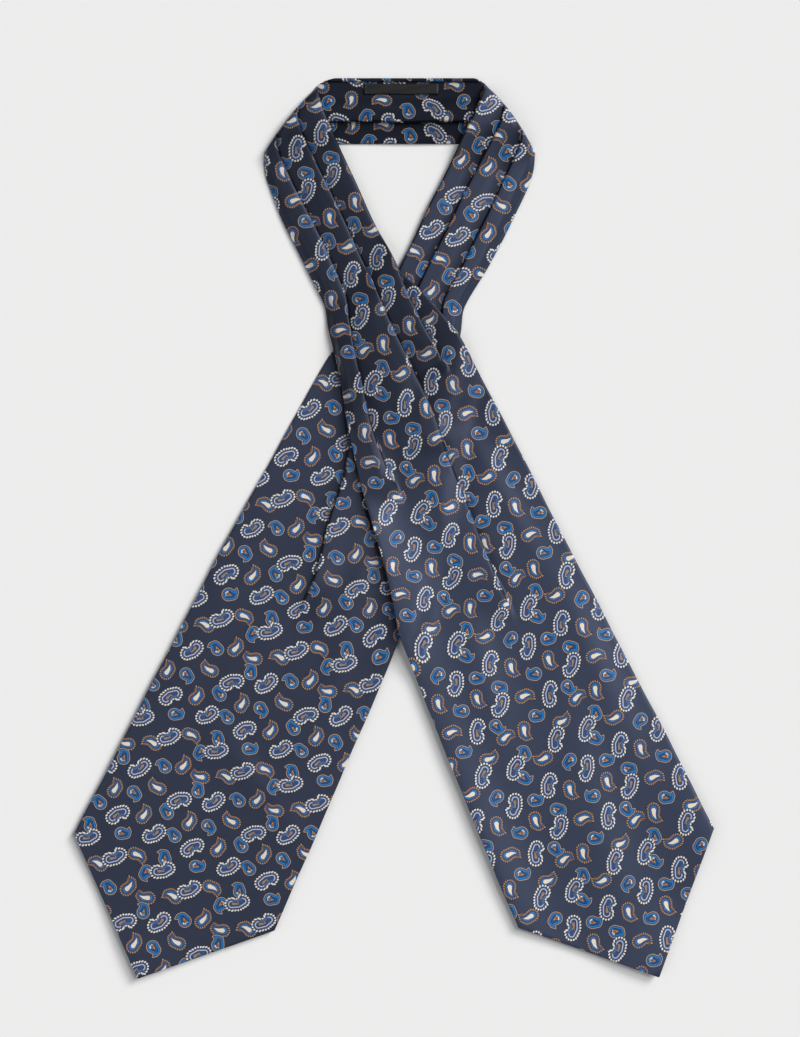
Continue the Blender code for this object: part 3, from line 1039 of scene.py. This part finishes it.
def layered(nodes, colour, *layers):
    """Colours laid one over another. A layer is its colour with a mask, with a distance and the
    limit that it keeps below, or with a distance and the middle and half width of a ring."""
    for paint, mask, *limits in layers:
        if limits:
            mask = (nodes.ring if len(limits) == 2 else nodes.inside)(mask, *limits)
        colour = nodes.paint(colour, paint, mask)
    return colour


# The motifs' shapes, in millimetres, in the frame of each: places along it with their radii.
TOOTHED_LIMBS = ((-2.5, 0.0, 4.4), (1.5, -0.4, 3.9), (3.7, 1.0, 3.0), (4.7, 4.7, 1.0))
TOOTHED_CORE = ((-1.8, 0.0, 1.4), (0.9, 0.0, 0.95), (3.5, 0.9, 0.15))
LINED_LIMBS = ((-1.0, 0.0, 4.3), (2.1, -0.2, 3.3), (3.8, 1.6, 1.9), (3.9, 4.3, 0.55))
LINED_CORE = ((-1.2, 0.0, 1.5), (2.4, -0.4, 0.2))
BEADED_LIMBS = ((-4.1, 0.3, 4.9), (0.0, -1.2, 4.1), (3.9, 0.6, 4.6), (2.8, 4.6, 1.4))
BEADED_CORE = ((-3.0, 0.4, 0.95), (0.9, -0.6, 0.2))
BEADED_LEAF = ((-1.2, 2.2, 0.7), (2.2, 1.8, 0.5), (3.8, 3.2, 0.3))

# The teeth, scallops and beads round the motifs: the middle that they are counted round, their
# number, and how much closer they stand at a long motif's ends.
TEETH = ((0.2, 0.5), 24, 0.07)
SCALLOPS = ((-0.6, 0.2), 9, 0.0)
BEADS = ((0.0, 0.4), 22, 0.137)
TOOTH_HALF = 0.3
SCALLOP_DEPTH = -0.20
BEAD_INSET, BEAD_RADIUS, BEAD_PITCH = 0.72, 0.65, 1.7

# A lined motif's berries and eye. A beaded motif's hollow, where its beads stand in a straight
# run, and the gap in its pale line there: the middle and half width of each, and how far up.
BERRIES, BERRY_RADIUS = ((-2.4, 0.7), (-1.7, 1.5), (-2.2, -0.5)), 0.62
EYE = (-1.1, 0.1)
HOLLOW = (-0.1, 1.9, 1.0)
NOTCH = (0.2, 3.3, 0.6)


def toothed_motif(nodes, place, under):
    """Short tan teeth round a bright blue ring and a cream drop."""
    edge = limbs_distance(nodes, place, TOOTHED_LIMBS)
    core = limbs_distance(nodes, place, TOOTHED_CORE)
    phase, _ = round_phase(nodes, place, *TEETH)
    tooth = nodes.inside(nodes.math("ABSOLUTE", phase), TOOTH_HALF)
    return layered(
        nodes,
        under,
        (DEEP_NAVY, edge, 0.15),
        (TAN, nodes.both(nodes.ring(edge, -0.62, 0.56), tooth)),
        (TAN_SHADE, edge, -1.2, 0.14),
        (SLATE_SHADE, edge, -1.4),
        (DEEP_BLUE, edge, -2.05),
        (BRIGHT_BLUE, edge, -2.35),
        (DEEP_NAVY, core, 0.35),
        (CREAM, core, 0.05),
    )


def lined_motif(nodes, place, under):
    """A thin tan outline round a bright blue drop with a small floret."""
    edge = limbs_distance(nodes, place, LINED_LIMBS)
    core = limbs_distance(nodes, place, LINED_CORE)
    phase, _ = round_phase(nodes, place, *SCALLOPS)
    scallop = nodes.math("COSINE", nodes.math("MULTIPLY", phase, 2 * pi))
    wavy = nodes.math("MULTIPLY_ADD", scallop, SCALLOP_DEPTH, core)
    return layered(
        nodes,
        under,
        (DEEP_NAVY, edge, 0.15),
        (SAND, edge, -0.24, 0.24),
        (DEEP_BLUE, edge, -0.8),
        (BRIGHT_BLUE, edge, -1.5, 0.5),
        (DEEP_NAVY, edge, -2.15, 0.15),
        (BRIGHT_BLUE, edge, -2.3),
        (DEEP_NAVY, wavy, 0.65, 0.18),
        (DEEP_BLUE, wavy, 0.47),
        *((BEAD, spot(nodes, place, berry, BERRY_RADIUS)) for berry in BERRIES),
        (DEEP_NAVY, core, -0.2),
        (TAN, core, -0.5),
        (RUST, spot(nodes, place, EYE, 0.8)),
        (DEEP_NAVY, spot(nodes, place, EYE, 0.3)),
    )


def in_hollow(nodes, place, middle, half, above):
    """A mask for the side that a motif is hollow on, above a height."""
    x, y = nodes.split(place)
    return nodes.both(nodes.ring(x, middle, half), nodes.math("GREATER_THAN", y, above))


def beaded_motif(nodes, place, under):
    """A bean with a hooked tail: cream beads, slate bands, a pale open line and a brown drop."""
    edge = limbs_distance(nodes, place, BEADED_LIMBS)
    core = limbs_distance(nodes, place, BEADED_CORE)
    leaf = limbs_distance(nodes, place, BEADED_LEAF)
    _, aside = round_phase(nodes, place, *BEADS)
    turns = nodes.math("MULTIPLY", nodes.split(place)[0], 1 / BEAD_PITCH)
    along = nodes.math("MULTIPLY", nodes.math("WRAP", turns, 0.5, -0.5), BEAD_PITCH)
    hollow = in_hollow(nodes, place, *HOLLOW)
    aside = nodes.math("ADD", aside, nodes.both(nodes.math("SUBTRACT", along, aside), hollow))
    away = nodes.vector("LENGTH", nodes.pair(aside, nodes.math("ADD", edge, BEAD_INSET)))
    closed = nodes.math("SUBTRACT", 1.0, in_hollow(nodes, place, *NOTCH))
    return layered(
        nodes,
        under,
        (DEEP_NAVY, edge, 0.1),
        (SLATE, edge, -1.6),
        (BEAD, away, BEAD_RADIUS),
        (DEEP_NAVY, edge, -1.95, 0.14),
        (SLATE_SHADE, edge, -2.45),
        (ICE, nodes.both(nodes.ring(edge, -2.85, 0.27), closed)),
        (SLATE_SHADE, edge, -3.3),
        (TEAL, leaf, 0.0),
        (DEEP_NAVY, core, 0.42),
        (MAUVE, core, 0.05),
    )


def print_group():
    """The tossed print as a node group: cloth coordinates in, colour out."""
    chart = PrintChart()
    tree = bpy.data.node_groups.new("paisley_print", "ShaderNodeTree")
    tree.interface.new_socket("Cloth", in_out="INPUT", socket_type="NodeSocketVector")
    tree.interface.new_socket("Ground", in_out="INPUT", socket_type="NodeSocketColor")
    tree.interface.new_socket("Color", in_out="OUTPUT", socket_type="NodeSocketColor")
    nodes = Nodes(tree)
    given = nodes.add("NodeGroupInput")
    result = nodes.add("NodeGroupOutput")
    shares = [
        nodes.vector("DOT_PRODUCT", given.outputs["Cloth"], (*map(float, row / MM), 0.0))
        for row in chart.to_repeat
    ]
    repeat_place = nodes.pair(*shares)
    colour = given.outputs["Ground"]
    drawn = ((TOOTHED, toothed_motif), (LINED, lined_motif), (BEADED, beaded_motif))
    for motifs, draw in drawn:
        colour = draw(nodes, nearest_motif(nodes, repeat_place, chart, motifs), colour)
    nodes.feed(result.inputs["Color"], colour)
    return tree


# ---- materials ----

TWILL_PITCH, RIBBON_PITCH = 0.55 * MM, 0.5 * MM
RIB_HEIGHT = 0.05 * MM
MOTTLE_SCALE, MOTTLE_DETAIL = 60, 3
MOTTLE_DARK, MOTTLE_LIGHT = 0.92, 1.1

# How strongly the painted shade acts on the cloth's ground and on its print.
GROUND_POWER, PRINT_POWER = 1.75, 0.4

# The label's stitches: how they follow each other, and how far they lie from its ends.
STITCH_PITCH, STITCH_WIDTH, STITCH_INSET = 1.8 * MM, 0.45 * MM, 1.2 * MM
STITCH_GAP = -0.2


def new_material(name, **values):
    """A material with its node calls, its shader and the values of the shader's own sockets."""
    material = bpy.data.materials.new(name)
    material.use_nodes = True
    shader = material.node_tree.nodes["Principled BSDF"]
    for socket, value in values.items():
        shader.inputs[socket.replace("_", " ")].default_value = value
    return material, Nodes(material.node_tree), shader


def ribs(nodes, cloth, direction, pitch):
    """A wave across the cloth, one to a rib."""
    turn = 2 * pi / pitch
    across, along = direction
    return nodes.math("SINE", nodes.vector("DOT_PRODUCT", cloth, (turn * across, turn * along, 0)))


def raise_ribs(nodes, shader, rib, strength):
    bump = nodes.add("ShaderNodeBump")
    bump.inputs["Strength"].default_value = strength
    bump.inputs["Distance"].default_value = RIB_HEIGHT
    nodes.feed(bump.inputs["Height"], rib)
    nodes.feed(shader.inputs["Normal"], bump.outputs[0])


def silk_material(name, group, roughness, gloss):
    """Printed silk twill: the print with painted shade, a fine diagonal rib, and a soft sheen."""
    material, nodes, shader = new_material(
        name,
        Roughness=roughness,
        Specular_IOR_Level=gloss,
        Specular_Tint=srgb(188, 200, 238),
        Sheen_Weight=0.04,
        Sheen_Roughness=0.35,
        Sheen_Tint=srgb(150, 165, 205),
    )
    cloth = nodes.add("ShaderNodeUVMap", uv_map="cloth").outputs[0]
    mottle = nodes.add("ShaderNodeTexNoise")
    nodes.feed(mottle.inputs["Vector"], cloth)
    mottle.inputs["Scale"].default_value = MOTTLE_SCALE
    mottle.inputs["Detail"].default_value = MOTTLE_DETAIL
    dark, light = [(*(c * k for c in NAVY[:3]), 1) for k in (MOTTLE_DARK, MOTTLE_LIGHT)]
    plain = nodes.paint(dark, light, mottle.outputs[0])
    # Painted shade: the attribute "shade" darkens the ground, and less the print, towards a
    # near-black.
    shade = nodes.add("ShaderNodeAttribute", attribute_name="shade").outputs["Fac"]
    printed = nodes.add("ShaderNodeGroup", node_tree=group)
    nodes.feed(printed.inputs["Cloth"], cloth)
    ground = nodes.paint(PAINTED_SHADE_DARK, plain, nodes.math("POWER", shade, GROUND_POWER))
    nodes.feed(printed.inputs["Ground"], ground)
    colour = nodes.paint(PAINTED_SHADE_DARK, printed.outputs[0], nodes.math("POWER", shade, PRINT_POWER))
    nodes.feed(shader.inputs["Base Color"], colour)
    raise_ribs(nodes, shader, ribs(nodes, cloth, (1, 1), TWILL_PITCH), 0.15)
    return material


def label_material(name):
    """Black satin ribbon with a fine rib across it, and a row of stitches near each end."""
    material, nodes, shader = new_material(name, Roughness=0.5, Specular_IOR_Level=0.25)
    cloth = nodes.add("ShaderNodeUVMap", uv_map="cloth").outputs[0]
    rib = ribs(nodes, cloth, (0, 1), RIBBON_PITCH)
    ribbon = nodes.paint(RIBBON_DARK, RIBBON_LIGHT, nodes.math("MULTIPLY_ADD", rib, 0.25, 0.5))
    down, along = nodes.split(cloth)
    dash = nodes.math("SINE", nodes.math("MULTIPLY", down, 2 * pi / STITCH_PITCH))
    sewn = nodes.math("GREATER_THAN", dash, STITCH_GAP)
    for seam in (LABEL_LEFT + STITCH_INSET, LABEL_RIGHT - STITCH_INSET):
        line = nodes.ring(along, seam, STITCH_WIDTH / 2)
        ribbon = nodes.paint(ribbon, STITCH_GREY, nodes.both(line, sewn))
    nodes.feed(shader.inputs["Base Color"], ribbon)
    raise_ribs(nodes, shader, rib, 0.3)
    return material


# ---- stage ----

# The floor lies just below the surface the cravat rests on.
FLOOR_HALF, FLOOR_LEVEL = 4.0, -0.2 * MM
ROOM_COLOUR, ROOM_STRENGTH = (0.95, 0.97, 1.0, 1), 0.18

# Broad even lights, each from an azimuth clockwise from the top of the garment.
Sun = namedtuple("Sun", "name azimuth elevation spread strength colour")
SUNS = (
    Sun("key", 50, 36, 24, 2.3, (1.0, 0.99, 0.97)),
    Sun("gloss", 62, 60, 24, 1.15, (1.0, 0.99, 0.98)),
    Sun("fill", 250, 50, 50, 0.55, (0.96, 0.98, 1.0)),
)


def stage():
    """The plain floor, the lights and the room's even light."""
    data = bpy.data.meshes.new("floor")
    corners = [(-1, -1), (1, -1), (1, 1), (-1, 1)]
    places = [(x * FLOOR_HALF, y * FLOOR_HALF, FLOOR_LEVEL) for x, y in corners]
    data.from_pydata(places, [], [(0, 1, 2, 3)])
    pale, _, _ = new_material(
        "floor_pale", Base_Color=srgb(232, 232, 232), Roughness=0.9, Specular_IOR_Level=0.1
    )
    data.materials.append(pale)
    add_object("floor", data)
    for sun in SUNS:
        data = bpy.data.lights.new(sun.name, "SUN")
        data.angle = radians(sun.spread)
        data.energy = sun.strength
        data.color = sun.colour
        light = add_object(sun.name, data)
        light.rotation_euler = (radians(90 - sun.elevation), 0, radians(180 - sun.azimuth))
    world = bpy.data.worlds.new("soft_room")
    world.use_nodes = True
    background = world.node_tree.nodes["Background"]
    background.inputs["Color"].default_value = ROOM_COLOUR
    background.inputs["Strength"].default_value = ROOM_STRENGTH
    bpy.context.scene.world = world
    bpy.context.scene.view_settings.view_transform = "Standard"


# The photograph's frame: 0.655 mm a pixel, seen from straight above.
VIEW_MIDDLE = (4.1 * MM, 6.2 * MM)
VIEW_HEIGHT = 679 * MM
LENS, SENSOR, CLIP_END = 100, 36, 20


def camera():
    data = bpy.data.cameras.new("camera")
    data.lens = LENS
    data.sensor_width = SENSOR
    data.clip_end = CLIP_END
    seen_from = add_object("camera", data)
    seen_from.location = (*VIEW_MIDDLE, VIEW_HEIGHT * LENS / SENSOR)
    bpy.context.scene.camera = seen_from


# ---- the cravat ----

# The roughness and gloss of the band's shaded inner side, and of the strips.
BAND_FINISH = (0.45, 0.2)
STRIP_FINISH = (0.4, 0.47)


def build():
    camera()
    stage()
    group = print_group()
    silk_band = silk_material("silk_band", group, *BAND_FINISH)
    silk_under = silk_material("silk_under", group, *STRIP_FINISH)
    silk_over = silk_material("silk_over", group, *STRIP_FINISH)
    band = band_object("band_silk", silk_band)
    label = label_object("label_ribbon", label_material("label_satin"))
    under = strip_object(UNDER, "under_silk", Ground(piece_points(band)), silk_under, OVER)
    over = strip_object(OVER, "over_silk", Ground(piece_points(band, under)), silk_over)
    pieces = (
        (band, "neck_band", "silk_band"),
        (label, "label", "label_satin"),
        (under, "strip_under", "silk_under"),
        (over, "strip_over", "silk_over"),
    )
    for piece, node, slot in pieces:
        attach(piece, "root")
        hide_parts(node)


build()
